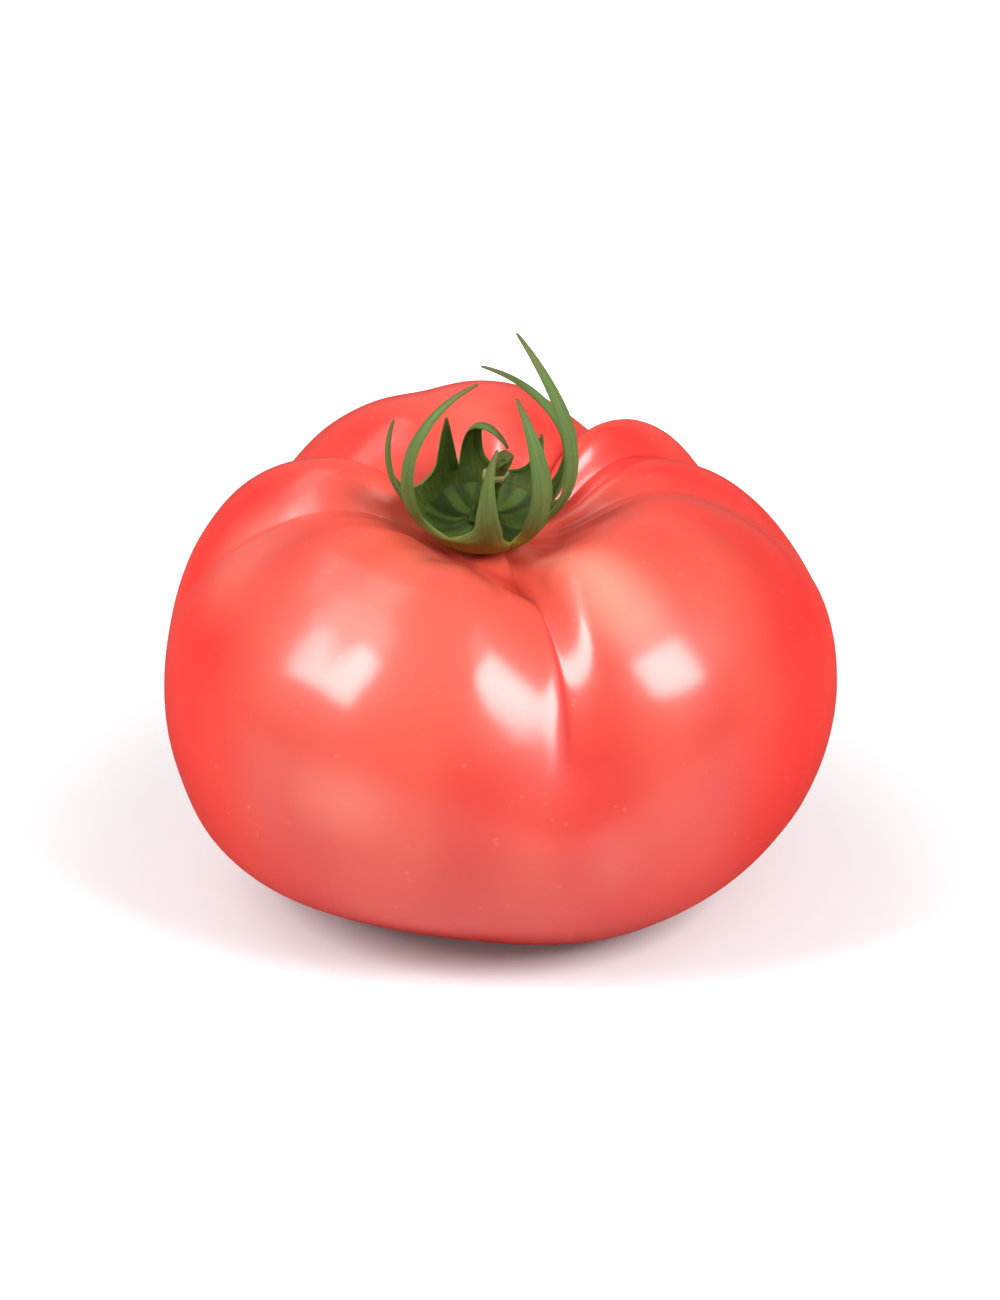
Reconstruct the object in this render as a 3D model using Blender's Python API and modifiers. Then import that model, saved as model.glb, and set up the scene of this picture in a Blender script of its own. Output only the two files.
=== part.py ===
# A ripe, pink-red ribbed beefsteak tomato as picked: the fruit, its green calyx and a stub of stalk.
# Metres, +Z up. The front looks along -Y. The origin is the middle of the flat spot it rests on.
# Azimuths are in degrees round the fruit, 0 at the front and growing towards +X.

import math

import bmesh
import bpy
import numpy as np
from mathutils import Matrix, Vector

MM = 0.001

# Fruit: half of its mean outline, radius and height in mm, from the flat spot's edge to the stem pit.
FLAT_RADIUS = 14.5
PIT_HEIGHT = 54.6
OUTLINE = [
    (FLAT_RADIUS, 0), (21, 0.8), (28.5, 3.0), (36, 7.2), (43, 12.8), (46.8, 20.5), (48.2, 31), (46.4, 41.5),
    (41.2, 50.2), (34, 56.4), (26, 60), (19, 60), (13, 57.6), (8.5, 55.6), (4, 54.8), (0, PIT_HEIGHT),
]
EQUATOR_HEIGHT = 31
COLUMNS = 92  # a multiple of four, so that the sphere's columns start on its axes
ROWS = 40
DEPTH_TO_WIDTH = 0.98
LEAN = 8  # degrees that the stem end tips to the front
SWIRL = 3  # degrees that a crease turns on its way up to the stem

# Creases: azimuth, depth, reach to each side in degrees, lowest height, the height over which they deepen, how far
# the lobe after it bulges, and how sharp the valley is, from 0, rounded, to 1. A crease whose lobe is 0 only scores
# the lobe that it lies on.
CREASES = [
    dict(azimuth=16, depth=3.9, reach=(20.5, 7.5), low=26, span=22, lobe=2.2, sharp=1),
    dict(azimuth=80, depth=0.4, reach=(10, 10), low=34, span=22, lobe=0, sharp=0),
    dict(azimuth=105, depth=1.4, reach=(12, 12), low=36, span=22, lobe=0.3, sharp=0.1),
    dict(azimuth=134, depth=3.0, reach=(15, 9), low=34, span=22, lobe=2.2, sharp=0.2),
    dict(azimuth=155, depth=4.4, reach=(12, 18), low=34, span=22, lobe=3.6, sharp=0.7),
    dict(azimuth=198, depth=0.9, reach=(14, 14), low=30, span=22, lobe=0, sharp=0),
    dict(azimuth=236, depth=2.2, reach=(18, 14), low=30, span=22, lobe=2.1, sharp=0.2),
    dict(azimuth=270, depth=0.8, reach=(13, 13), low=36, span=22, lobe=2.0, sharp=0.1),
    dict(azimuth=281, depth=0.5, reach=(7, 8), low=36, span=22, lobe=0, sharp=0),
    dict(azimuth=322, depth=0.45, reach=(13, 13), low=16, span=22, lobe=0, sharp=0),
]
VALLEY_POWER = 1.05  # 1 makes the sides of a sharp valley straight, more makes them hollow
SHARP_BETWEEN = (44, 50)  # the heights in mm between which a sharp valley turns from wide and rounded to sharp
WIDE_REACH = 19  # the least reach in degrees where it is wide

# Swellings: azimuth, height, reach in degrees and in mm, and how far they stand out in mm.
SWELLINGS = [
    dict(azimuth=-62, height=8, reach=(45, 12), rise=1.4),
    dict(azimuth=38, height=5, reach=(50, 12), rise=1.7),
    dict(azimuth=118, height=8, reach=(45, 12), rise=0.8),
    dict(azimuth=205, height=6, reach=(50, 12), rise=0.9),
    dict(azimuth=241, height=57, reach=(20, 13), rise=1.2),
    dict(azimuth=92, height=34, reach=(50, 24), rise=0.8),
]

# Calyx: a shallow green cup in the stem pit, with the sepals round its rim and the stalk in its middle.
GAP = 0.3
CALYX_CENTRE = Vector((-2, -2.8, 56.1))
CUP_RADIUS = 7.8
CUP_OUTLINE = [
    (0, 1.9), (2.4, 1.6), (3.8, 1.1), (5.4, 1.2), (6.6, 2.0), (7.4, 3.2), (CUP_RADIUS, 3.4),
    (8.0, 2.9), (7.6, 1.6), (6.0, 0.2), (3.5, -0.2), (0, -0.3),
]
SEPAL_RING = 8.9
SEPAL_LIFT = 2.6
SEPAL_THICKNESS = 0.55
TIP_HALF_WIDTH = 0.22

# Sepals: azimuth on the ring, the rise of the blade at its base and tip in degrees (over 90 leans back in),
# how early it bends (under 1 is early), how far it turns sideways, its length and greatest width in mm.
SEPALS = {
    "sepal_1": dict(azimuth=4, rise=(51, 133), bend=1.13, turn=-42, length=18.4, width=3.9),
    "sepal_2": dict(azimuth=47, rise=(43, 154), bend=0.84, turn=-21, length=24.2, width=4.5),
    "sepal_3": dict(azimuth=76, rise=(39, 167), bend=0.88, turn=-46, length=33.9, width=3.8),
    "sepal_4": dict(azimuth=102, rise=(43, 183), bend=0.95, turn=-38, length=29.6, width=3.5),
    "sepal_5": dict(azimuth=132, rise=(55, 95), bend=1.0, turn=-5, length=9.0, width=3.2),
    "sepal_6": dict(azimuth=189, rise=(53, 240), bend=1.34, turn=42, length=17.9, width=3.4),
    "sepal_7": dict(azimuth=217, rise=(78, 102), bend=0.45, turn=-33, length=12.2, width=3.7),
    "sepal_8": dict(azimuth=273, rise=(42, 114), bend=1.03, turn=22, length=17.8, width=3.3),
    "sepal_9": dict(azimuth=297, rise=(39, 169), bend=0.85, turn=-4, length=29.1, width=4.0),
}

# Stalk: the stub left above the calyx, swollen at its foot, pinched below the knuckle where it broke.
STALK_PATH = [(0, 0, 0), (0.1, 0, 1.4), (0.7, -0.4, 4.6), (1.7, -0.9, 8.2), (3.1, -1.6, 12.0)]
STALK_RADII = [2.3, 1.7, 1.5, 1.6, 1.4]


def smooth_step(low, high, value):
    share = np.clip((value - low) / (high - low), 0, 1)
    return share * share * (3 - 2 * share)


def rounded_line(points, count):
    """Evenly spaced points on the smooth curve through the given (radius, height) points."""
    points = np.array(points, float)
    ends = [2 * points[0] - points[1], np.array([-points[-2][0], points[-2][1]])]
    path = np.vstack([ends[0], points, ends[1]])
    fine = []
    for before, start, end, after in zip(path, path[1:], path[2:], path[3:]):
        for share in np.arange(12) / 12:
            fine.append(
                0.5 * (2 * start + (end - before) * share
                       + (2 * before - 5 * start + 4 * end - after) * share**2
                       + (3 * start - before - 3 * end + after) * share**3)
            )
    fine = np.array(fine + [points[-1]])
    along = np.concatenate([[0], np.cumsum(np.linalg.norm(np.diff(fine, axis=0), axis=1))])
    even = np.linspace(0, along[-1], count)
    return np.stack([np.interp(even, along, fine[:, 0]), np.interp(even, along, fine[:, 1])], axis=1)


def column_azimuths():
    """One azimuth for each column: a column lies on every crease, and they stand closer together near it."""
    starts = np.array([crease["azimuth"] for crease in CREASES], float)
    ends = np.append(starts[1:], starts[0] + 360)
    columns = np.round(COLUMNS * (starts - starts[0]) / 360).astype(int)
    azimuths = np.zeros(COLUMNS)
    for start, end, first, last in zip(starts, ends, columns, np.append(columns[1:], COLUMNS)):
        share = np.arange(last - first) / (last - first)
        azimuths[first:last] = start + (end - start) * (share - 0.08 * np.sin(2 * math.pi * share))
    return azimuths


def lobe_bulge(azimuth):
    """How far the lobes stand out at an azimuth: rounded over each lobe, nothing in the creases."""
    lobed = [crease for crease in CREASES if crease["lobe"]]
    for crease, following in zip(lobed, lobed[1:] + lobed[:1]):
        width = (following["azimuth"] - crease["azimuth"]) % 360
        across = ((azimuth - crease["azimuth"]) % 360) / width
        if across < 1:
            return crease["lobe"] * (1 - abs(2 * across - 1) ** 2.2)
    return 0


def crease_cut(azimuth, radius, height):
    """How deep the valleys run: they open towards the stem, and fade on the way down."""
    cut = 0
    for crease in CREASES:
        off = (azimuth - crease["azimuth"] + 180) % 360 - 180
        reach = crease["reach"][0] if off < 0 else crease["reach"][1]
        reach *= 0.7 + 0.3 * 42 / max(radius, 12)
        sharp = crease["sharp"] * smooth_step(*SHARP_BETWEEN, height)
        reach += (crease["sharp"] - sharp) * max(0, WIDE_REACH - reach)
        near = max(0, 1 - abs(off) / reach)
        share = smooth_step(crease["low"], crease["low"] + crease["span"], height)
        valley = sharp * near**VALLEY_POWER + (1 - sharp) * smooth_step(0, 1, near)
        cut = max(cut, crease["depth"] * share * valley)
    return cut


def swelling(azimuth, height):
    """How far the fruit swells at an azimuth and height, with nothing added to the flat spot."""
    rise = 0
    for swell in SWELLINGS:
        off = (azimuth - swell["azimuth"] + 180) % 360 - 180
        up = height - swell["height"]
        distance = math.hypot(off / swell["reach"][0], up / swell["reach"][1])
        rise += swell["rise"] * smooth_step(1, 0, distance)
    return rise * smooth_step(0, 3, height)


def lean(point):
    """Tips the stem end to the front about the fruit's middle, the more the higher the point."""
    angle = math.radians(LEAN) * smooth_step(15, 52, point.z)
    rise = point.z - EQUATOR_HEIGHT
    y = point.y * math.cos(angle) - rise * math.sin(angle)
    z = EQUATOR_HEIGHT + point.y * math.sin(angle) + rise * math.cos(angle)
    return Vector((point.x, y, z))


def fruit_point(radius, height, outward, azimuth, upper):
    """A point of the outline, moved out by its lobe and in by its crease, in mm."""
    if upper:
        bulge_share = 0.12 + 0.88 * smooth_step(EQUATOR_HEIGHT, 60, height)
    else:
        bulge_share = 0.12 * smooth_step(2, EQUATOR_HEIGHT, height)
    push = lobe_bulge(azimuth) * bulge_share * smooth_step(6, 24, radius)
    push -= crease_cut(azimuth, radius, height) * smooth_step(3, 12, radius)
    push += swelling(azimuth, height)
    radius += outward[0] * push
    height += outward[1] * push
    turned = math.radians(azimuth - SWIRL * (1 - smooth_step(38, 60, height)))
    x = radius * math.sin(turned)
    y = -radius * math.cos(turned) * DEPTH_TO_WIDTH
    return lean(Vector((x, y, height)))


def fruit_mesh():
    """A UV sphere whose rows take the outline's radii and heights and whose columns follow the creases."""
    outline = np.vstack([[0, 0], rounded_line(OUTLINE, ROWS)])
    along = np.gradient(outline, axis=0)
    outward = np.stack([along[:, 1], -along[:, 0]], axis=1) / np.linalg.norm(along, axis=1)[:, None]
    azimuths = column_azimuths()
    widest = int(np.argmax(outline[:, 0]))

    bm = bmesh.new()
    bmesh.ops.create_uvsphere(bm, u_segments=COLUMNS, v_segments=ROWS, radius=1)
    for vertex in bm.verts:
        x, y, z = vertex.co
        row = round((math.asin(max(-1, min(1, z))) / math.pi + 0.5) * ROWS)
        column = round(math.atan2(y, x) / (2 * math.pi) * COLUMNS) % COLUMNS
        radius, height = outline[row]
        vertex.co = fruit_point(radius, height, outward[row], azimuths[column], row > widest) * MM
    bmesh.ops.recalc_face_normals(bm, faces=bm.faces)
    return bm


def mesh_object(name, bm, material, collection):
    mesh = bpy.data.meshes.new(name)
    bm.to_mesh(mesh)
    bm.free()
    mesh.shade_smooth()
    mesh.materials.append(material)
    obj = bpy.data.objects.new(name, mesh)
    collection.objects.link(obj)
    return obj


def calyx_frame():
    """Places the calyx in the stem pit, tipped forwards as the pit is."""
    return Matrix.Translation(CALYX_CENTRE * MM) @ Matrix.Rotation(math.radians(LEAN), 4, "X")


def cup_mesh():
    """The outline turned once round; the closed ends on the axis make it a solid."""
    bm = bmesh.new()
    points = [bm.verts.new((radius * MM, 0, height * MM)) for radius, height in CUP_OUTLINE]
    edges = [bm.edges.new(pair) for pair in zip(points, points[1:])]
    bmesh.ops.spin(
        bm, geom=points + edges, cent=(0, 0, 0), axis=(0, 0, 1), angle=2 * math.pi, steps=36, use_merge=True
    )
    bmesh.ops.remove_doubles(bm, verts=bm.verts, dist=0.00001)
    bmesh.ops.recalc_face_normals(bm, faces=bm.faces)
    return bm


def sepal_point(sepal, across, along):
    """A point of the blade in mm, from -1 to 1 across it and 0 to 1 along it, and folded up at its edges."""
    start = math.radians(sepal["azimuth"])
    point = Vector((SEPAL_RING * math.sin(start), -SEPAL_RING * math.cos(start), SEPAL_LIFT))
    steps = 24
    for step in range(steps):
        share = (step + 0.5) / steps * along
        rise = math.radians(sepal["rise"][0] + (sepal["rise"][1] - sepal["rise"][0]) * share ** sepal["bend"])
        heading = start + math.radians(sepal["turn"]) * share
        level = Vector((math.sin(heading), -math.cos(heading), 0))
        ahead = level * math.cos(rise) + Vector((0, 0, math.sin(rise)))
        point += ahead * sepal["length"] * along / steps
    rise = math.radians(sepal["rise"][0] + (sepal["rise"][1] - sepal["rise"][0]) * along ** sepal["bend"])
    heading = start + math.radians(sepal["turn"]) * along
    side = Vector((math.cos(heading), math.sin(heading), 0))
    inner = Vector((-math.sin(rise) * math.sin(heading), math.sin(rise) * math.cos(heading), math.cos(rise)))
    spread = 0.61 + 0.61 * smooth_step(0, 0.22, along)
    half_width = 0.5 * sepal["width"] * spread * (1 - along) ** 0.9 + TIP_HALF_WIDTH
    fold = 0.35 * half_width * abs(across) ** 1.5
    return point + side * across * half_width + inner * fold


def sepal_mesh(sepal):
    bm = bmesh.new()
    bmesh.ops.create_grid(bm, x_segments=4, y_segments=14, size=1)
    for vertex in bm.verts:
        across, along = vertex.co.x, (vertex.co.y + 1) / 2
        vertex.co = sepal_point(sepal, across, along) * MM
    return bm


def stalk_curve(name, material, collection):
    curve = bpy.data.curves.new(name, "CURVE")
    curve.dimensions = "3D"
    curve.bevel_depth = MM
    curve.bevel_resolution = 4
    curve.resolution_u = 6
    curve.use_fill_caps = True
    spline = curve.splines.new("BEZIER")
    spline.bezier_points.add(len(STALK_PATH) - 1)
    for point, place, radius in zip(spline.bezier_points, STALK_PATH, STALK_RADII):
        point.co = Vector(place) * MM
        point.radius = radius
        point.handle_left_type = point.handle_right_type = "AUTO"
    curve.materials.append(material)
    stalk = bpy.data.objects.new(name, curve)
    collection.objects.link(stalk)
    return stalk


def principled(name, color, roughness):
    material = bpy.data.materials.new(name)
    material.use_nodes = True
    shader = material.node_tree.nodes["Principled BSDF"]
    shader.inputs["Base Color"].default_value = (*color, 1)
    shader.inputs["Roughness"].default_value = roughness
    shader.inputs["Metallic"].default_value = 0
    return material


def main():
    for obj in list(bpy.data.objects):
        bpy.data.objects.remove(obj)
    collection = bpy.data.collections.new("heirloom_tomato")
    bpy.context.scene.collection.children.link(collection)

    skin = principled("tomato_skin", (0.85, 0.12, 0.08), 0.25)
    cup_green = principled("calyx_green", (0.2, 0.19, 0.03), 0.6)
    sepal_green = principled("sepal_green", (0.12, 0.2, 0.04), 0.6)
    stalk_green = principled("stalk_green", (0.2, 0.24, 0.08), 0.65)

    mesh_object("fruit", fruit_mesh(), skin, collection)
    cup = mesh_object("calyx_base", cup_mesh(), cup_green, collection)
    cup.matrix_world = calyx_frame()
    for name, sepal in SEPALS.items():
        blade = mesh_object(name, sepal_mesh(sepal), sepal_green, collection)
        blade.matrix_world = calyx_frame()
        wall = blade.modifiers.new("thickness", "SOLIDIFY")
        wall.thickness = SEPAL_THICKNESS * MM
        wall.offset = 0
    stalk = stalk_curve("stalk", stalk_green, collection)
    foot = Vector((0, 0, CUP_OUTLINE[0][1] + GAP)) * MM
    stalk.matrix_world = calyx_frame() @ Matrix.Translation(foot)


main()
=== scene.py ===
import math

import bmesh
import bpy
import numpy as np
from mathutils import Matrix, Vector, noise


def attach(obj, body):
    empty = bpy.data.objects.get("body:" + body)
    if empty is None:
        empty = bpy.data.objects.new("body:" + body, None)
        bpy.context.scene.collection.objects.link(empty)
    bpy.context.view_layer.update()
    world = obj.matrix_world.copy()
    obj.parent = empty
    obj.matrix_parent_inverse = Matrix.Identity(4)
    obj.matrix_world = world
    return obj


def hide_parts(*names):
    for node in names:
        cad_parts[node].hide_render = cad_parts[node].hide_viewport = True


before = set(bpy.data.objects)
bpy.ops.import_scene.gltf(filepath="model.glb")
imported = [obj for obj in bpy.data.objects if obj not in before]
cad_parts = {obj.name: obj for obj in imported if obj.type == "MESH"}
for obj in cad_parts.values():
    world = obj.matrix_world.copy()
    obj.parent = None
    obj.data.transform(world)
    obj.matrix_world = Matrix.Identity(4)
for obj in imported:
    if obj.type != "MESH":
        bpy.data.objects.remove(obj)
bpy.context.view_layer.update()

# Looks of a ripe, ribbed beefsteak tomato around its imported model. Metres, +Z up, the front looks along -Y.
# Azimuths are in degrees round the fruit, 0 at the front and growing towards +X. Shapes are worked out in mm.

mm = 0.001
print("frame loaded:", len(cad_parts), "nodes")


# camera, where the photograph was taken from

cameraPlace = dict(place=(-0.0032, -0.9075, 0.4924), target=(0.0004, 0, 0.0352), lens=195.5)


def direction(azimuth, elevation):
    turn, up = math.radians(azimuth), math.radians(elevation)
    return Vector((math.sin(turn) * math.cos(up), -math.cos(turn) * math.cos(up), math.sin(up)))


def addCamera():
    place, target = Vector(cameraPlace["place"]), Vector(cameraPlace["target"])
    turn = (place - target).to_track_quat("Z", "Y").to_euler()
    bpy.ops.object.camera_add(location=place, rotation=turn)
    camera = bpy.context.object
    camera.data.lens = cameraPlace["lens"]
    bpy.context.scene.camera = camera


addCamera()
print("camera placed")


# helpers for modelling

def smoothStep(low, high, value):
    # 0 under low, 1 over high, and smooth between them; low may be the larger one
    share = np.clip((value - low) / (high - low), 0, 1)
    return share * share * (3 - 2 * share)


def workOn(piece):
    bpy.ops.object.select_all(action="DESELECT")
    piece.select_set(True)
    bpy.context.view_layer.objects.active = piece


def subdivide(piece, levels):
    # smooths the piece after its other modifiers, and applies them all
    smooth = piece.modifiers.new("smooth", "SUBSURF")
    smooth.levels = smooth.render_levels = levels
    workOn(piece)
    for modifier in list(piece.modifiers):
        bpy.ops.object.modifier_apply(modifier=modifier.name)


def extrudeRings(rings):
    # draws what is selected out through rings of this radius and height
    for (radius, height), (nextRadius, nextHeight) in zip(rings, rings[1:]):
        rise = (0, 0, (nextHeight - height) * mm)
        bpy.ops.mesh.extrude_region_move(TRANSFORM_OT_translate={"value": rise})
        ratio = nextRadius / radius
        bpy.ops.transform.resize(value=(ratio, ratio, 1), center_override=(0, 0, nextHeight * mm))


def readPoints(piece):
    flat = np.empty(len(piece.data.vertices) * 3)
    piece.data.vertices.foreach_get("co", flat)
    return flat.reshape(-1, 3) / mm


def readNormals(piece):
    flat = np.empty(len(piece.data.vertices) * 3)
    piece.data.vertices.foreach_get("normal", flat)
    return flat.reshape(-1, 3)


def writePoints(piece, points):
    piece.data.vertices.foreach_set("co", (points * mm).ravel())
    piece.data.update()


def softened(piece, points, rounds):
    # the points after sliding towards the middle of their neighbours again and again
    edges = np.empty(len(piece.data.edges) * 2, int)
    piece.data.edges.foreach_get("vertices", edges)
    start, end = edges.reshape(-1, 2).T
    size, pull = len(points), 0.6
    count = np.bincount(edges, minlength=size)[:, None]
    for _ in range(rounds):
        total = np.stack([
            np.bincount(start, points[end, axis], size) + np.bincount(end, points[start, axis], size)
            for axis in range(3)
        ], axis=1)
        points = (1 - pull) * points + pull * total / count
    return points


def waves(points, size, seed, depth=1):
    # smooth noise from -depth to depth at each point, with features of this size
    shift = Vector((seed, seed, seed))
    return np.array([noise.noise(Vector(point) / size + shift) for point in points]) * depth


def paint(piece, name, values):
    layer = piece.data.attributes.new(name, "FLOAT", "POINT")
    layer.data.foreach_set("value", np.asarray(values, np.float32))


def settle(piece, node, material=None):
    # hangs a finished piece under the root, hides the imported node that it stands for, and gives it this
    # material in place of its own if one is given
    if material:
        piece.data.materials.clear()
        piece.data.materials.append(material)
    piece.data.shade_smooth()
    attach(piece, "root")
    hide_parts(node)


# materials: sums on a Wire add Math nodes

class Wire:
    def __init__(self, tree, socket=None):
        self.tree = tree
        self.socket = socket

    def node(self, kind, settings=None, sockets=None, output=0):
        made = self.tree.nodes.new(kind)
        for name, value in (settings or {}).items():
            setattr(made, name, value)
        for name, value in (sockets or {}).items():
            if isinstance(value, Wire):
                self.tree.links.new(value.socket, made.inputs[name])
            elif isinstance(value, tuple) and len(value) == 3 and made.inputs[name].type == "RGBA":
                made.inputs[name].default_value = (*value, 1)
            else:
                made.inputs[name].default_value = value
        return Wire(self.tree, made.outputs[output])

    def math(self, operation, *values):
        return self.node("ShaderNodeMath", {"operation": operation}, dict(enumerate(values)))

    def __add__(self, other):
        return self.math("ADD", self, other)

    def __sub__(self, other):
        return self.math("SUBTRACT", self, other)

    def __mul__(self, other):
        return self.math("MULTIPLY", self, other)

    def __rsub__(self, other):
        return self.math("SUBTRACT", other, self)

    __radd__ = __add__
    __rmul__ = __mul__

    def within(self, low, high):
        # 0 under low, 1 over high, and smooth between them; low may be the larger one
        return self.node("ShaderNodeMapRange", {"interpolation_type": "SMOOTHSTEP"},
                         {"Value": self, "From Min": low, "From Max": high})

    def blend(self, under, over):
        # the colour under, covered by the colour over where this is 1
        return self.node("ShaderNodeMix", {"data_type": "RGBA"}, {0: self, 6: under, 7: over}, output=2)

    def part(self, axis):
        # one of a place's three coordinates
        return self.node("ShaderNodeSeparateXYZ", None, {"Vector": self}, output="XYZ".index(axis))

    def into(self, socket):
        self.tree.links.new(self.socket, socket)


def newFinish(name, **constants):
    # a Principled material; the constants go straight on the shader's own sockets
    material = bpy.data.materials.new(name)
    material.use_nodes = True
    shader = material.node_tree.nodes["Principled BSDF"]
    for socket, value in constants.items():
        shader.inputs[socket.replace("_", " ")].default_value = value
    start = Wire(material.node_tree)
    place = start.node("ShaderNodeTexCoord", output=3)
    return material, shader, start, place


def painted(start, name):
    # what paint gave the points under this name
    return start.node("ShaderNodeAttribute", {"attribute_name": name}, output=2)


def grain(place, scale, detail=2.0):
    return place.node("ShaderNodeTexNoise", None, {"Vector": place, "Scale": scale, "Detail": detail})


def bumped(height, strength, distance, under=None):
    sockets = {"Height": height, "Strength": strength, "Distance": distance}
    if under:
        sockets["Normal"] = under
    return height.node("ShaderNodeBump", None, sockets)


def grainBump(place, scale, detail, strength, distance, under=None):
    return bumped(grain(place, scale, detail), strength, distance, under)


skinLook = dict(
    # pale paints reflections; the flank colour paints shade on the sides, at the back and low down, partly the
    # skin's own deeper red; the valley colour paints shade in the creases; shoulder, fleck and scar are the
    # skin's own colours
    coral=(0.68, 0.078, 0.05), red=(0.61, 0.036, 0.026), pale=(0.82, 0.23, 0.165), flankToneAndShade=(0.84, 0.014, 0.012),
    valley=(0.5, 0.012, 0.012), shoulder=(0.78, 0.15, 0.07), fleck=(0.95, 0.32, 0.2), scar=(0.25, 0.13, 0.06),
    # how far each painted colour covers those before it
    covers=dict(pale=0.7, flankToneAndShade=0.75, valley=0.75, shoulder=0.2),
    cloudScale=22, streaks=0.22, cloudRange=(0.33, 0.68),
    # flecks are the middles of small cells, in patches
    cellScale=620, fleckEdge=(0.26, 0.1), patchScale=260, patchRange=(0.55, 0.7), fleckCover=0.2,
    roughness=0.44, roughnessScale=90, roughnessGrain=0.08, scarRoughness=0.4,
    broadBump=dict(scale=70, detail=1.5, strength=0.35, distance=0.0004),
    fineBump=dict(scale=900, detail=2.0, strength=0.06, distance=0.0001),
)


def makeSkin():
    look = skinLook
    material, shader, start, place = newFinish(
        "tomatoSkin", IOR=1.4, Subsurface_Weight=0.2, Subsurface_Radius=(1.0, 0.25, 0.12),
        Subsurface_Scale=0.004, Coat_Weight=1.0, Coat_Roughness=0.2, Coat_IOR=1.45,
    )
    cloudy = grain(place, look["cloudScale"]) + painted(start, "streak") * look["streaks"]
    colour = cloudy.within(*look["cloudRange"]).blend(look["coral"], look["red"])
    # lays the painted reflections (pale), painted shade on the flanks and in the valleys, and the orange
    # shoulder
    for name, cover in look["covers"].items():
        colour = (painted(start, name) * cover).blend(colour, look[name])
    cell = place.node("ShaderNodeTexVoronoi", None, {"Vector": place, "Scale": look["cellScale"]})
    few = grain(place, look["patchScale"], 1.0).within(*look["patchRange"])
    fleck = cell.within(*look["fleckEdge"]) * few
    colour = (fleck * look["fleckCover"]).blend(colour, look["fleck"])
    scar = painted(start, "scar")
    scar.blend(colour, look["scar"]).into(shader.inputs["Base Color"])
    rough = grain(place, look["roughnessScale"], 3.0) * look["roughnessGrain"] + look["roughness"]
    (rough + scar * look["scarRoughness"]).into(shader.inputs["Roughness"])
    broad = grainBump(place, **look["broadBump"])
    grainBump(place, **look["fineBump"], under=broad).into(shader.inputs["Normal"])
    return material


sepalLook = dict(
    outer=(0.085, 0.15, 0.035), outerPale=(0.14, 0.215, 0.065),
    inner=(0.04, 0.075, 0.008), innerPale=(0.085, 0.14, 0.025),
    foot=(0.18, 0.145, 0.013), tip=(0.13, 0.1, 0.04),
    # veins are noise drawn out along the blade
    veinAcross=4, veinAlong=1.2, veinScale=1.6, veinRange=(0.3, 0.75), veinCover=0.6,
    speckScale=500, speckRange=(0.5, 0.75), speckCover=0.2,
    # mm above the wall where the foot's colour ends, and how far along the blade the tip's begins
    footRange=(4.5, -0.5), tipRange=(0.72, 1.0), tipCover=0.75,
    roughness=0.5, roughnessScale=400, roughnessGrain=0.15, veinBump=dict(strength=0.25, distance=0.0004),
    fineBump=dict(scale=2200, detail=2.0, strength=0.35, distance=0.0001),
)


def makeLeaf(name, body, pale, footCover):
    # a sepal's face: olive-yellow at its foot, green along the blade, browned at the tip, with fine veins
    look = sepalLook
    material, shader, start, place = newFinish(name, Subsurface_Weight=0.08, Subsurface_Scale=0.001, IOR=1.4,
                                               Specular_IOR_Level=0.3)
    along = painted(start, "along")
    drawn = {"X": painted(start, "across") * look["veinAcross"], "Y": along * look["veinAlong"]}
    onBlade = start.node("ShaderNodeCombineXYZ", None, drawn)
    veins = start.node("ShaderNodeTexNoise", {"noise_dimensions": "2D"},
                       {"Vector": onBlade, "Scale": look["veinScale"], "Detail": 2.0})
    specks = grain(place, look["speckScale"]).within(*look["speckRange"])
    colour = (veins.within(*look["veinRange"]) * look["veinCover"]).blend(look[body], look[pale])
    colour = (specks * look["speckCover"]).blend(colour, look["foot"])
    colour = (painted(start, "climbed").within(*look["footRange"]) * footCover).blend(colour, look["foot"])
    colour = (along.within(*look["tipRange"]) * look["tipCover"]).blend(colour, look["tip"])
    colour.into(shader.inputs["Base Color"])
    rough = grain(place, look["roughnessScale"]) * look["roughnessGrain"] + look["roughness"]
    rough.into(shader.inputs["Roughness"])
    ribs = bumped(veins, **look["veinBump"])
    grainBump(place, **look["fineBump"], under=ribs).into(shader.inputs["Normal"])
    return material


cupLook = dict(
    dark=(0.03, 0.055, 0.006), green=(0.085, 0.14, 0.022), rim=(0.21, 0.17, 0.02),
    mottleScale=600, mottle=0.5, greenRange=(0.1, 0.6), roughness=0.5, roughnessGrain=0.15,
    bump=dict(scale=1500, detail=3.0, strength=0.5, distance=0.0002),
)


def makeCup():
    look = cupLook
    material, shader, start, place = newFinish("calyxCup", Subsurface_Weight=0.06, Subsurface_Scale=0.001,
                                               Specular_IOR_Level=0.25)
    mottle = grain(place, look["mottleScale"], 3.0)
    green = (painted(start, "streak") + mottle * look["mottle"]).within(*look["greenRange"])
    colour = green.blend(look["dark"], look["green"])
    painted(start, "wall").blend(colour, look["rim"]).into(shader.inputs["Base Color"])
    (mottle * look["roughnessGrain"] + look["roughness"]).into(shader.inputs["Roughness"])
    grainBump(place, **look["bump"]).into(shader.inputs["Normal"])
    return material


stalkLook = dict(
    green=(0.085, 0.14, 0.02), dark=(0.05, 0.065, 0.01), brown=(0.14, 0.1, 0.03), cream=(0.42, 0.42, 0.17),
    speckleScale=900, speckleRange=(0.42, 0.62), darkCover=0.8,
    # how high up the stub the browned part begins, as a share of its height
    brownFrom=(0.72, 0.8), brownCover=0.6, roughness=0.55, roughnessGrain=0.1,
    bump=dict(scale=1600, detail=3.0, strength=0.6, distance=0.0002),
)


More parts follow.
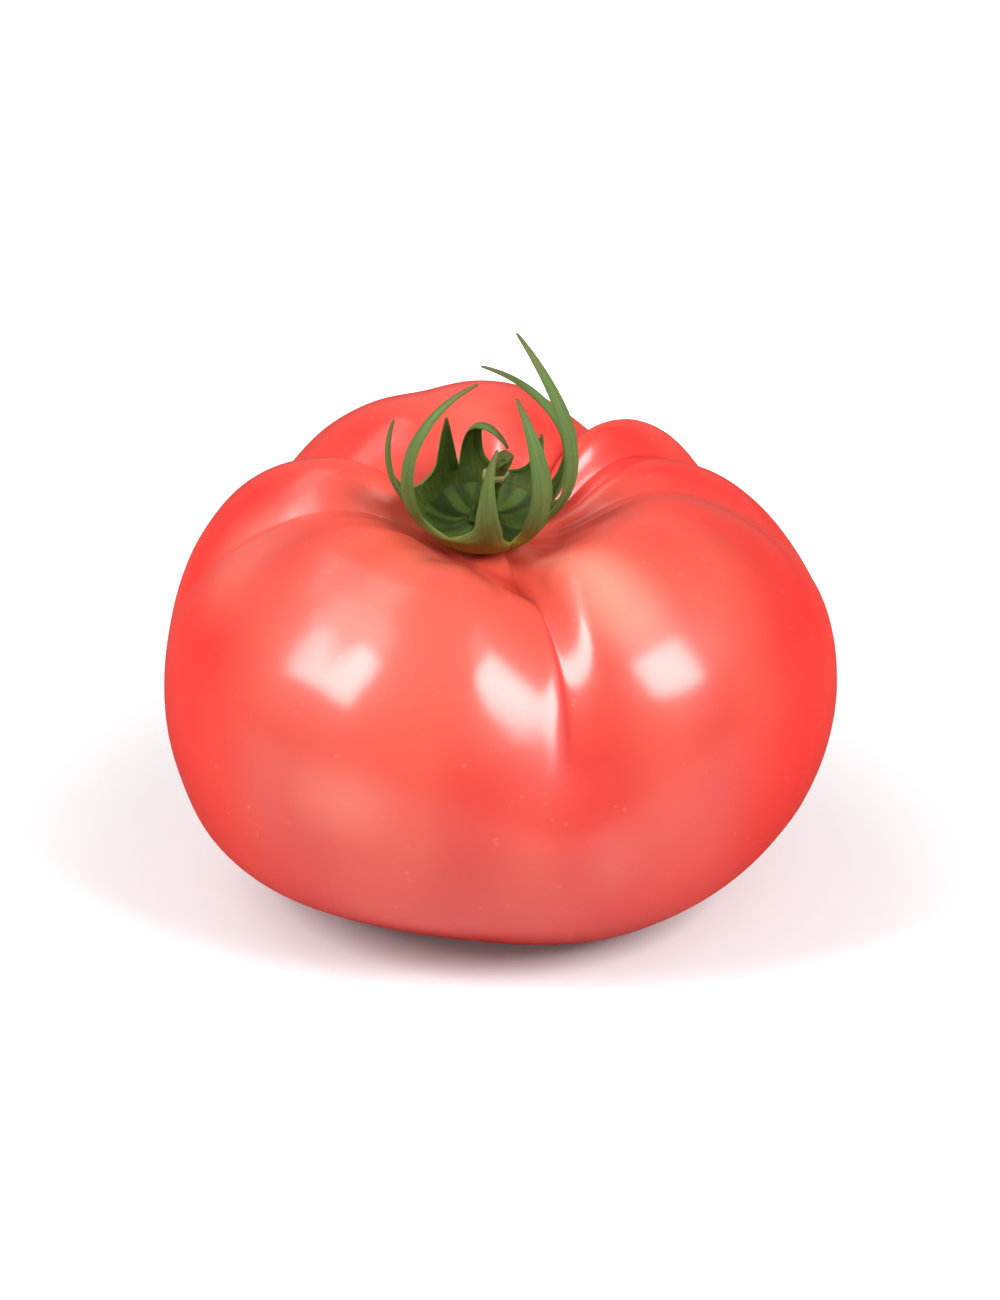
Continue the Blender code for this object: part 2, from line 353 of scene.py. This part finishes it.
def makeStalk():
    look = stalkLook
    material, shader, start, place = newFinish("stalkSkin", Subsurface_Weight=0.06, Subsurface_Scale=0.001,
                                               Specular_IOR_Level=0.3)
    speckle = grain(place, look["speckleScale"], 3.0).within(*look["speckleRange"])
    brown = painted(start, "height").within(*look["brownFrom"]) * speckle
    colour = (speckle * look["darkCover"]).blend(look["green"], look["dark"])
    colour = (brown * look["brownCover"]).blend(colour, look["brown"])
    painted(start, "joint").blend(colour, look["cream"]).into(shader.inputs["Base Color"])
    (speckle * look["roughnessGrain"] + look["roughness"]).into(shader.inputs["Roughness"])
    grainBump(place, **look["bump"]).into(shader.inputs["Normal"])
    return material


skin = makeSkin()
leafOuter = makeLeaf("sepalOuter", "outer", "outerPale", 1)
leafInner = makeLeaf("sepalInner", "inner", "innerPale", 0.12)
cupFlesh = makeCup()
stalkSkin = makeStalk()
print("materials made")


# fruit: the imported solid, merged into quads, smoothed with its valleys kept sharp, and shaped in its details

fruitShape = dict(
    mergeWithin=0.00001, flatQuad=60, squareQuad=120, levels=2,
    # edges that fold in by more degrees than this are valleys, where they are steep or near the stem
    valleyFold=14, valleySteepness=0.15, valleyTop=50, valleySharpness=0.7,
    # how deep under its softened surroundings the skin is painted darker, as painted shade in the valleys
    valleyRounds=60, valleyDepth=(0.02, 0.5),
    # the front valley fades out at its lower end: degrees from its azimuth, heights and rounds of softening
    fade=dict(azimuth=16, reach=(30, 10), heights=(56, 42), foot=(3, 8), rounds=90),
    dents=dict(size=26, seed=3.1, depth=0.35), ripples=dict(size=7, seed=8.7, depth=0.05),
    # puckers round the calyx
    puckers=dict(size=2.2, seed=4.4, depth=0.11), puckerRing=14, puckerRise=0.12, puckerReach=(26, 12),
    # streaks from the stem to the blossom end
    streaks=dict(size=6, seed=6.1), streakRing=24, streakRise=0.2,
    # the flat spot stays flat up to here
    flat=(0.2, 5), topFrom=40, shoulderReach=(30, 8),
    # painted shade, partly the skin's own deeper red: deeper red on the sides, at the back and low down; where
    # it sets in, and how strong it is
    sides=(30, 47), back=(-4, 12), backShare=0.8, low=(30, 4), lowShare=0.6,
    scarRadius=(2.6, 1.04), scarBelow=2, scarDepth=0.35,
)
# painted reflections: pale patches on the skin standing for soft light reflected in it, with their reach in
# degrees and in mm
sheenPatches = [
    dict(azimuth=31, height=58, reach=(16, 9), share=1.4),
    dict(azimuth=-32, height=56, reach=(16, 6), share=0.45),
    dict(azimuth=-27, height=33, reach=(14, 9), share=0.6),
    dict(azimuth=-78, height=52, reach=(26, 9), share=0.9),
    dict(azimuth=-165, height=66, reach=(40, 5), share=0.9),
    dict(azimuth=144, height=56, reach=(22, 9), share=0.9),
    dict(azimuth=20, height=24, reach=(9, 10), share=0.3),
]
calyxPlace = Matrix.Translation(Vector((-2, -2.8, 56.1)) * mm) @ Matrix.Rotation(math.radians(8), 4, "X")


def copyNode(node, name):
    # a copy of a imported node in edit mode, its triangles merged into quads
    piece = bpy.data.objects.new(name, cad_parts[node].data.copy())
    bpy.context.scene.collection.objects.link(piece)
    workOn(piece)
    bpy.ops.mesh.customdata_custom_splitnormals_clear()
    bpy.ops.object.mode_set(mode="EDIT")
    bpy.ops.mesh.select_all(action="SELECT")
    bpy.ops.mesh.remove_doubles(threshold=fruitShape["mergeWithin"])
    bpy.ops.mesh.tris_convert_to_quads(face_threshold=math.radians(fruitShape["flatQuad"]),
                                       shape_threshold=math.radians(fruitShape["squareQuad"]))
    bpy.ops.mesh.select_all(action="DESELECT")
    return piece


def sharpenValleys(piece):
    # selects the edges that fold inwards along the creases, and keeps them sharp under the subdivision
    shape = fruitShape
    bm = bmesh.from_edit_mesh(piece.data)
    for edge in bm.edges:
        start, end = [vert.co for vert in edge.verts]
        steep = abs((start - end).normalized().z) > shape["valleySteepness"]
        folded = edge.calc_face_angle_signed(0) < -math.radians(shape["valleyFold"])
        edge.select = folded and (steep or start.z > shape["valleyTop"] * mm)
    bmesh.update_edit_mesh(piece.data)
    bpy.ops.transform.edge_crease(value=shape["valleySharpness"])
    bpy.ops.mesh.select_all(action="DESELECT")


# painted reflections: how much of the pale colour each point takes from the patches
def paintedSheen(azimuth, height):
    pale = 0
    for patch in sheenPatches:
        turn = (azimuth - patch["azimuth"] + 180) % 360 - 180
        away = np.hypot(turn / patch["reach"][0], (height - patch["height"]) / patch["reach"][1])
        pale = pale + patch["share"] * smoothStep(1, 0, away)
    return pale


def makeFruit():
    shape = fruitShape
    piece = copyNode("fruit", "tomatoFruit")
    sharpenValleys(piece)
    bpy.ops.object.mode_set(mode="OBJECT")
    subdivide(piece, shape["levels"])

    points, normals = readPoints(piece), readNormals(piece)
    depth = ((softened(piece, points, shape["valleyRounds"]) - points) * normals).sum(axis=1)
    height = points[:, 2]
    azimuth = np.degrees(np.arctan2(points[:, 0], -points[:, 1]))
    fade = shape["fade"]
    faded = smoothStep(*fade["heights"], height) * smoothStep(*fade["foot"], height)
    faded *= smoothStep(*fade["reach"], np.abs(azimuth - fade["azimuth"]))
    points = points + (softened(piece, points, fade["rounds"]) - points) * faded[:, None]

    toCalyx = calyxPlace.inverted()
    local = np.array([toCalyx @ Vector(point * mm) for point in points]) / mm
    fromCalyx = np.hypot(local[:, 0], local[:, 1])
    onTop = points[:, 2] > shape["topFrom"]
    # puckers and streaks vary with the azimuth and hardly along it
    level, upright = np.array([1, 1, 0]), np.array([0, 0, 1])
    spoke = local / fromCalyx[:, None] * level * shape["puckerRing"]
    spoke += upright * fromCalyx[:, None] * shape["puckerRise"]
    fromMiddle = np.hypot(points[:, 0], points[:, 1]) + 1
    meridian = points / fromMiddle[:, None] * level * shape["streakRing"]
    meridian += points * upright * shape["streakRise"]
    dents = waves(points, **shape["dents"]) + waves(points, **shape["ripples"])
    dents += waves(spoke, **shape["puckers"]) * smoothStep(*shape["puckerReach"], fromCalyx) * onTop
    dents *= smoothStep(*shape["flat"], points[:, 2])
    paint(piece, "streak", waves(meridian, **shape["streaks"]))
    points = points + normals * dents[:, None]

    fromAxis = np.hypot(points[:, 0], points[:, 1])
    scar = smoothStep(*shape["scarRadius"], fromAxis) * (points[:, 2] < shape["scarBelow"])
    points[:, 2] += scar * shape["scarDepth"]
    writePoints(piece, points)

    # painted shade, partly the skin's own deeper red: deeper red on the sides, at the back and low down
    flankToneAndShade = smoothStep(*shape["sides"], np.abs(points[:, 0]))
    flankToneAndShade += smoothStep(*shape["back"], points[:, 1]) * shape["backShare"]
    flankToneAndShade += smoothStep(*shape["low"], height) * shape["lowShare"]
    paint(piece, "flankToneAndShade", np.minimum(1, flankToneAndShade))
    # painted shade: the valleys darker where the skin lies deeper than its softened surroundings
    paint(piece, "valley", smoothStep(*shape["valleyDepth"], depth))
    paint(piece, "shoulder", smoothStep(*shape["shoulderReach"], fromCalyx) * onTop)
    # painted reflections: pale patches standing for soft light reflected in the skin
    paint(piece, "pale", paintedSheen(azimuth, height))
    paint(piece, "scar", scar)
    settle(piece, "fruit", skin)
    print("fruit:", len(piece.data.polygons), "faces")


makeFruit()


# calyx: a cup with the sepals' feet as its outer wall. All its pieces are made upright and then put in place

cupShape = dict(
    sides=72, levels=1,
    # radius and height: the floor from its middle, out to the rim inside the sepals' feet, and back under
    rings=[(2.4, 1.6), (3.4, 1.0), (4.8, 0.8), (6.2, 1.0), (7.3, 1.5), (8.2, 2.1), (8.7, 2.5), (8.75, 2.2),
           (8.3, 1.5), (7.0, 0.6), (4.0, 0.0)],
    middleRadius=1.5, middleRise=0.15, middleAbove=1,
    # ribs that run out over the floor
    ribs=dict(size=0.3, seed=5.2), ribHeight=0.25, ribTurn=0.03, ribFrom=(2.2, 3.6), ribAbove=0.7,
    wallFrom=(8.3, 8.9),
)


def makeCupPiece():
    shape = cupShape
    radius, height = shape["rings"][0]
    bpy.ops.object.select_all(action="DESELECT")
    bpy.ops.mesh.primitive_circle_add(
        vertices=shape["sides"], radius=radius * mm, fill_type="TRIFAN", location=(0, 0, height * mm)
    )
    piece = bpy.context.object
    piece.name = "calyxCup"
    bpy.ops.object.transform_apply(location=True, rotation=True, scale=True)
    bpy.ops.object.mode_set(mode="EDIT")
    bpy.ops.mesh.select_all(action="DESELECT")
    bm = bmesh.from_edit_mesh(piece.data)
    for edge in bm.edges:
        edge.select = edge.is_boundary
    bmesh.update_edit_mesh(piece.data)
    extrudeRings(shape["rings"])
    bpy.ops.mesh.fill()
    bpy.ops.mesh.select_all(action="SELECT")
    bpy.ops.mesh.normals_make_consistent(inside=False)
    bpy.ops.object.mode_set(mode="OBJECT")
    subdivide(piece, shape["levels"])

    points = readPoints(piece)
    radius = np.hypot(points[:, 0], points[:, 1])
    turn = np.arctan2(points[:, 0], -points[:, 1])
    ring = np.stack([np.cos(turn), np.sin(turn), radius * shape["ribTurn"]], axis=1)
    inside = smoothStep(*shape["ribFrom"], radius) * (points[:, 2] > shape["ribAbove"])
    streak = waves(ring, **shape["ribs"]) * inside
    points[:, 2] += shape["ribHeight"] * streak
    middle = smoothStep(shape["middleRadius"], 0, radius) * (points[:, 2] > shape["middleAbove"])
    points[:, 2] += middle * shape["middleRise"]
    writePoints(piece, points)
    paint(piece, "streak", streak)
    paint(piece, "wall", smoothStep(*shape["wallFrom"], radius))
    piece.data.transform(calyxPlace)
    settle(piece, "calyx_base", cupFlesh)
    print("calyx cup made")


makeCupPiece()


# sepals: blades that grow out of the cup's wall; each is a strip whose foot takes its share of the wall

sepalShape = dict(
    ring=8.9, lift=2.6, columns=8, footRows=6, bladeRows=36, rowPower=1.4, levels=1, lineSteps=24,
    # radius and height of the wall's middle, from under the cup to where the blades start
    wall=[(4.6, -0.15), (6.2, 0.1), (7.3, 0.6), (8.1, 1.3), (8.6, 2.0), (8.9, 2.6)],
    wallLength=5, overlap=1.06, notch=2.4, fusedUpTo=8,
    # the blade's width as a share of the sepal's, at its foot and further up, and how it narrows to the tip
    footWidth=0.95, moreWidth=0.27, widestFrom=0.22, narrowing=0.9, tipHalfWidth=0.14,
    fold=0.42, foldPower=1.6, edgeWave=0.1, edgeWaves=19,
    thickness=0.62, edgeThickness=0.35, edgeThinning=0.75, tipThinning=0.45,
)
# where each starts, how its blade rises and turns in degrees, its size, and how far up a web joins the next one
sepals = {
    "sepal_1": dict(azimuth=4, rise=(51, 133), bend=1.13, turn=-42, length=18.4, width=3.9, web=0.2),
    "sepal_2": dict(azimuth=47, rise=(43, 154), bend=0.84, turn=-21, length=24.2, width=4.5, web=0.8),
    "sepal_3": dict(azimuth=76, rise=(39, 167), bend=0.88, turn=-46, length=33.9, width=3.8, web=1.4),
    "sepal_4": dict(azimuth=102, rise=(43, 183), bend=0.95, turn=-38, length=29.6, width=3.5, web=1.2),
    "sepal_5": dict(azimuth=132, rise=(55, 95), bend=1.0, turn=-5, length=9.0, width=3.2, web=1.6),
    "sepal_6": dict(azimuth=189, rise=(53, 240), bend=1.34, turn=42, length=17.9, width=3.4, web=2.2),
    "sepal_7": dict(azimuth=217, rise=(78, 102), bend=0.45, turn=-33, length=12.2, width=3.7, web=2.6),
    "sepal_8": dict(azimuth=273, rise=(42, 114), bend=1.03, turn=22, length=17.8, width=3.3, web=2.0),
    "sepal_9": dict(azimuth=297, rise=(39, 169), bend=0.85, turn=-4, length=29.1, width=4.0, web=2.0),
}


def sepalHeading(sepal, share):
    # the angles at which the blade rises and faces, this share of the way along it
    low, high = sepal["rise"]
    rise = math.radians(low + (high - low) * share ** sepal["bend"])
    return rise, math.radians(sepal["azimuth"] + sepal["turn"] * share)


def sepalLine(sepal, along):
    # the blade's middle line: its place, its sideways direction and the direction of its inner face
    shape = sepalShape
    start = math.radians(sepal["azimuth"])
    point = Vector((shape["ring"] * math.sin(start), -shape["ring"] * math.cos(start), shape["lift"]))
    steps = shape["lineSteps"]
    for step in range(steps):
        rise, heading = sepalHeading(sepal, (step + 0.5) / steps * along)
        level = Vector((math.sin(heading), -math.cos(heading), 0))
        point += (level * math.cos(rise) + Vector((0, 0, math.sin(rise)))) * sepal["length"] * along / steps
    rise, heading = sepalHeading(sepal, along)
    side = Vector((math.cos(heading), math.sin(heading), 0))
    inner = Vector((-math.sin(rise) * math.sin(heading), math.sin(rise) * math.cos(heading), math.cos(rise)))
    return point, side, inner


def bladePoint(sepal, across, along, line):
    shape = sepalShape
    point, side, inner = line
    spread = shape["footWidth"] + shape["moreWidth"] * smoothStep(0, shape["widestFrom"], along)
    halfWidth = 0.5 * sepal["width"] * spread * (1 - along) ** shape["narrowing"] + shape["tipHalfWidth"]
    wave = math.sin(along * shape["edgeWaves"] + sepal["azimuth"]) * abs(across) * (1 - along)
    fold = shape["fold"] * halfWidth * abs(across) ** shape["foldPower"] + shape["edgeWave"] * wave
    return point + side * (across * halfWidth) + inner * fold


def middlePlace(sepal, climbed):
    # azimuth, radius and height of its middle line, this many mm up the blade, or under it down the wall
    shape = sepalShape
    if climbed <= 0:
        steps = np.linspace(-shape["wallLength"], 0, len(shape["wall"]))
        radius, height = [np.interp(climbed, steps, column) for column in zip(*shape["wall"])]
        return np.array([sepal["azimuth"], radius, height])
    point = sepalLine(sepal, climbed / sepal["length"])[0]
    return np.array([math.degrees(math.atan2(point.x, -point.y)), math.hypot(point.x, point.y), point.z])


def fusedPoint(own, other, across):
    # on the wall between the places of two neighbours; it joins them half way, where across is 1
    share = abs(across) * sepalShape["overlap"]
    turn = (other[0] - own[0] + 180) % 360 - 180
    angle = math.radians(own[0] + turn / 2 * share)
    radius, height = own[1:] + (other[1:] - own[1:]) / 2 * share ** 2
    return Vector((radius * math.sin(angle), -radius * math.cos(angle), height))


def makeSepal(name, before, after):
    # before and after are the names of its neighbours
    shape, sepal = sepalShape, sepals[name]
    rows = shape["footRows"] + shape["bladeRows"]
    bpy.ops.object.select_all(action="DESELECT")
    bpy.ops.mesh.primitive_grid_add(x_subdivisions=shape["columns"], y_subdivisions=rows, size=2 * mm)
    piece = bpy.context.object
    piece.name = name.replace("sepal_", "sepalBlade")
    body = piece.vertex_groups.new(name="body")
    grid = readPoints(piece)
    points, climbs = [], []
    places = {}
    for index, (across, up) in enumerate(grid[:, :2]):
        row = round((up + 1) / 2 * rows)
        if row not in places:
            share = (row - shape["footRows"]) / shape["bladeRows"]
            along = max(share, 0) ** shape["rowPower"]
            climbed = along * sepal["length"]
            if share <= 0:
                climbed = (row / shape["footRows"] - 1) * shape["wallLength"]
            level = min(climbed, shape["fusedUpTo"])
            near = [middlePlace(sepals[each], level) for each in (name, before, after)]
            places[row] = along, climbed, near, sepalLine(sepal, along)
        along, climbed, near, line = places[row]
        web = sepals[before]["web"] if across < 0 else sepal["web"]
        parted = min(max((climbed - web) / shape["notch"], 0), 1)
        free = math.sqrt(parted * (2 - parted))
        fused = fusedPoint(near[0], near[1] if across < 0 else near[2], across)
        points.append(fused.lerp(bladePoint(sepal, across, along, line), free))
        climbs.append(climbed)
        thick = (1 - shape["edgeThinning"] * across ** 2 * free) * (1 - shape["tipThinning"] * along)
        body.add([index], thick, "REPLACE")
    writePoints(piece, np.array(points))
    paint(piece, "across", grid[:, 0])
    paint(piece, "climbed", climbs)
    paint(piece, "along", np.maximum(climbs, 0) / sepal["length"])
    wall = piece.modifiers.new("wall", "SOLIDIFY")
    wall.thickness = shape["thickness"] * mm
    wall.offset = 0
    wall.vertex_group = "body"
    wall.thickness_vertex_group = shape["edgeThickness"]
    wall.material_offset = 1
    piece.data.materials.append(leafOuter)
    piece.data.materials.append(leafInner)
    subdivide(piece, shape["levels"])
    piece.data.transform(calyxPlace)
    settle(piece, name)


names = list(sepals)
for name, before, after in zip(names, names[-1:] + names, names[1:] + names[:1]):
    makeSepal(name, before, after)
print("sepals made:", len(sepals))


# stalk: the stub above the calyx, ribbed, with the knuckle where it broke

stalkShape = dict(
    sides=24, levels=2, foot=1.5,
    # radius and height, upwards: foot, waist, the ring of the knuckle, its groove, and the broken end
    rings=[(2.4, 0), (2.2, 0.5), (1.75, 1.4), (1.5, 3.0), (1.4, 6.0), (1.55, 7.2), (1.8, 8.0), (1.8, 8.5),
           (1.5, 8.8), (1.5, 9.5), (1.55, 10.8), (1.4, 11.6), (1.15, 12.0)],
    rim=0.3, hollowRim=0.4, hollow=0.35, lean=(3.1, -1.6), leanPower=1.6,
    ribs=7, ribDepth=0.07, ribEnd=(0.95, 0.7), joint=(7.9, 8.7), jointEdge=0.3,
    # the broken end is rougher than the rest
    lumps=dict(size=0.8, seed=2.3), lumpDepth=0.08, endDepth=0.22, endFrom=(0.72, 0.8),
    endFace=0.99, endRise=0.5,
)


def makeStalkPiece():
    shape = stalkShape
    bpy.ops.object.select_all(action="DESELECT")
    bpy.ops.mesh.primitive_circle_add(
        vertices=shape["sides"], radius=shape["rings"][0][0] * mm, fill_type="NGON", location=(0, 0, 0)
    )
    piece = bpy.context.object
    piece.name = "stalkStub"
    bpy.ops.object.mode_set(mode="EDIT")
    bpy.ops.mesh.select_all(action="SELECT")
    extrudeRings(shape["rings"])
    bpy.ops.mesh.inset(thickness=shape["rim"] * mm)
    bpy.ops.mesh.inset(thickness=shape["hollowRim"] * mm, depth=-shape["hollow"] * mm)
    bpy.ops.mesh.select_all(action="SELECT")
    bpy.ops.mesh.normals_make_consistent(inside=False)
    bpy.ops.object.mode_set(mode="OBJECT")
    subdivide(piece, shape["levels"])

    points = readPoints(piece)
    height = np.clip(points[:, 2] / shape["rings"][-1][1], 0, 1)
    radius = np.hypot(points[:, 0], points[:, 1])
    turn = np.arctan2(points[:, 1], points[:, 0])
    rib = 1 + shape["ribDepth"] * np.cos(shape["ribs"] * turn) * smoothStep(*shape["ribEnd"], height)
    points[:, :2] *= rib[:, None]
    low, high = shape["joint"]
    edge = shape["jointEdge"]
    joint = smoothStep(low - edge, low, points[:, 2]) * smoothStep(high + edge, high, points[:, 2])
    outwards = points * (1, 1, 0) / np.maximum(radius, 0.5)[:, None]
    outwards[:, 2] = shape["endRise"] * (height > shape["endFace"])
    lumps = shape["lumpDepth"] + shape["endDepth"] * smoothStep(*shape["endFrom"], height)
    points += outwards * (waves(points, **shape["lumps"]) * lumps)[:, None]
    points[:, :2] += np.outer(height ** shape["leanPower"], shape["lean"])
    points[:, 2] += shape["foot"]
    writePoints(piece, points)
    paint(piece, "height", height)
    paint(piece, "joint", joint)
    piece.data.transform(calyxPlace)
    settle(piece, "stalk", stalkSkin)
    print("stalk made")


makeStalkPiece()


# studio: a white table, softboxes on both sides and a dim tent around them

softboxes = [
    # azimuth and elevation seen from the fruit, distance, width and height in metres, and brightness
    dict(name="leftBox", azimuth=-66, elevation=37, distance=1.1, width=0.37, height=0.5, glow=17),
    dict(name="leftUpper", azimuth=-78, elevation=56, distance=1.2, width=0.5, height=0.4, glow=3.2),
    dict(name="rightBox", azimuth=55, elevation=38, distance=1.1, width=0.5, height=0.5, glow=16.5),
    dict(name="rightUpper", azimuth=62, elevation=60, distance=1.2, width=0.5, height=0.4, glow=1.5),
    dict(name="backBox", azimuth=-130, elevation=56, distance=1.3, width=0.7, height=0.5, glow=1.6),
]
lightTarget = (0, 0, 0.04)
tent = dict(
    # brightness to the camera, and to the object from above, from all round and from behind
    camera=1.0, top=0.3, side=0.1, back=0.35,
    topFrom=(0.2, 0.9), backFrom=(0.55, 0.9), tintFrom=(0.1, 0.6), backTint=(1.0, 0.5, 0.45),
)
table = dict(
    size=3, white=(0.79, 0.87, 0.885), roughness=0.6,
    # its colour in reflections, strongest behind the fruit and far away, and in the light that it bounces
    mirrored=(0.48, 0.07, 0.055), mirroredShare=0.45, behind=(-0.06, 0.0), far=(0.08, 0.6),
    bounced=(0.62, 0.62, 0.62),
    # painted light: for the camera the table glows white and fades into the white background, which lifts the
    # shadows on it: a little everywhere, more round the object and fully far away
    cameraGlowLeast=0.06, cameraGlowNear=(0.05, 0.13), cameraGlowNearShare=0.55, cameraGlowFar=(0.3, 0.8), cameraGlowFarShare=0.4,
)


def addSoftboxes():
    for box in softboxes:
        away = direction(box["azimuth"], box["elevation"])
        place = Vector(lightTarget) + away * box["distance"]
        turn = away.to_track_quat("Z", "Y").to_euler()
        bpy.ops.object.light_add(type="AREA", location=place, rotation=turn)
        light = bpy.context.object
        light.name = box["name"]
        light.data.shape = "RECTANGLE"
        light.data.size = box["width"]
        light.data.size_y = box["height"]
        light.data.energy = box["glow"] * math.pi * box["width"] * box["height"]
        light.visible_camera = False


def addTent():
    world = bpy.data.worlds.new("tent")
    bpy.context.scene.world = world
    world.use_nodes = True
    start = Wire(world.node_tree)
    background = world.node_tree.nodes["Background"]
    place = start.node("ShaderNodeTexCoord", output=0)
    behind = place.part("Y")
    glow = place.part("Z").within(*tent["topFrom"]) * tent["top"] + tent["side"]
    glow = glow + behind.within(*tent["backFrom"]) * tent["back"]
    seen = start.node("ShaderNodeLightPath")
    ((1 - seen) * glow + seen * tent["camera"]).into(background.inputs["Strength"])
    tinted = (1 - seen) * behind.within(*tent["tintFrom"])
    tinted.blend((1, 1, 1), tent["backTint"]).into(background.inputs["Color"])


def addTable():
    bpy.ops.object.select_all(action="DESELECT")
    bpy.ops.mesh.primitive_plane_add(size=table["size"], location=(0, 0, 0))
    top = bpy.context.object
    top.name = "table"
    material, shader, start, place = newFinish("tableWhite", Roughness=table["roughness"])
    seen, bounce, glossy = [start.node("ShaderNodeLightPath", output=ray) for ray in (0, 2, 3)]
    away = place.node("ShaderNodeVectorMath", {"operation": "LENGTH"}, {0: place}, output=1)
    share = table["mirroredShare"]
    dimmed = place.part("Y").within(*table["behind"]) * (1 - share) + share + away.within(*table["far"])
    colour = bounce.blend(table["white"], table["bounced"])
    (glossy * dimmed).within(0, 1).blend(colour, table["mirrored"]).into(shader.inputs["Base Color"])
    # painted light: the table's glow, seen by the camera only
    fade = away.within(*table["cameraGlowNear"]) * table["cameraGlowNearShare"] + table["cameraGlowLeast"]
    fade = seen * (fade + away.within(*table["cameraGlowFar"]) * table["cameraGlowFarShare"])
    fade.blend((0, 0, 0), (1, 1, 1)).into(shader.inputs["Emission Color"])
    shader.inputs["Emission Strength"].default_value = 1
    top.data.materials.append(material)


addSoftboxes()
addTent()
addTable()
bpy.context.scene.view_settings.view_transform = "Standard"
print("studio lit")
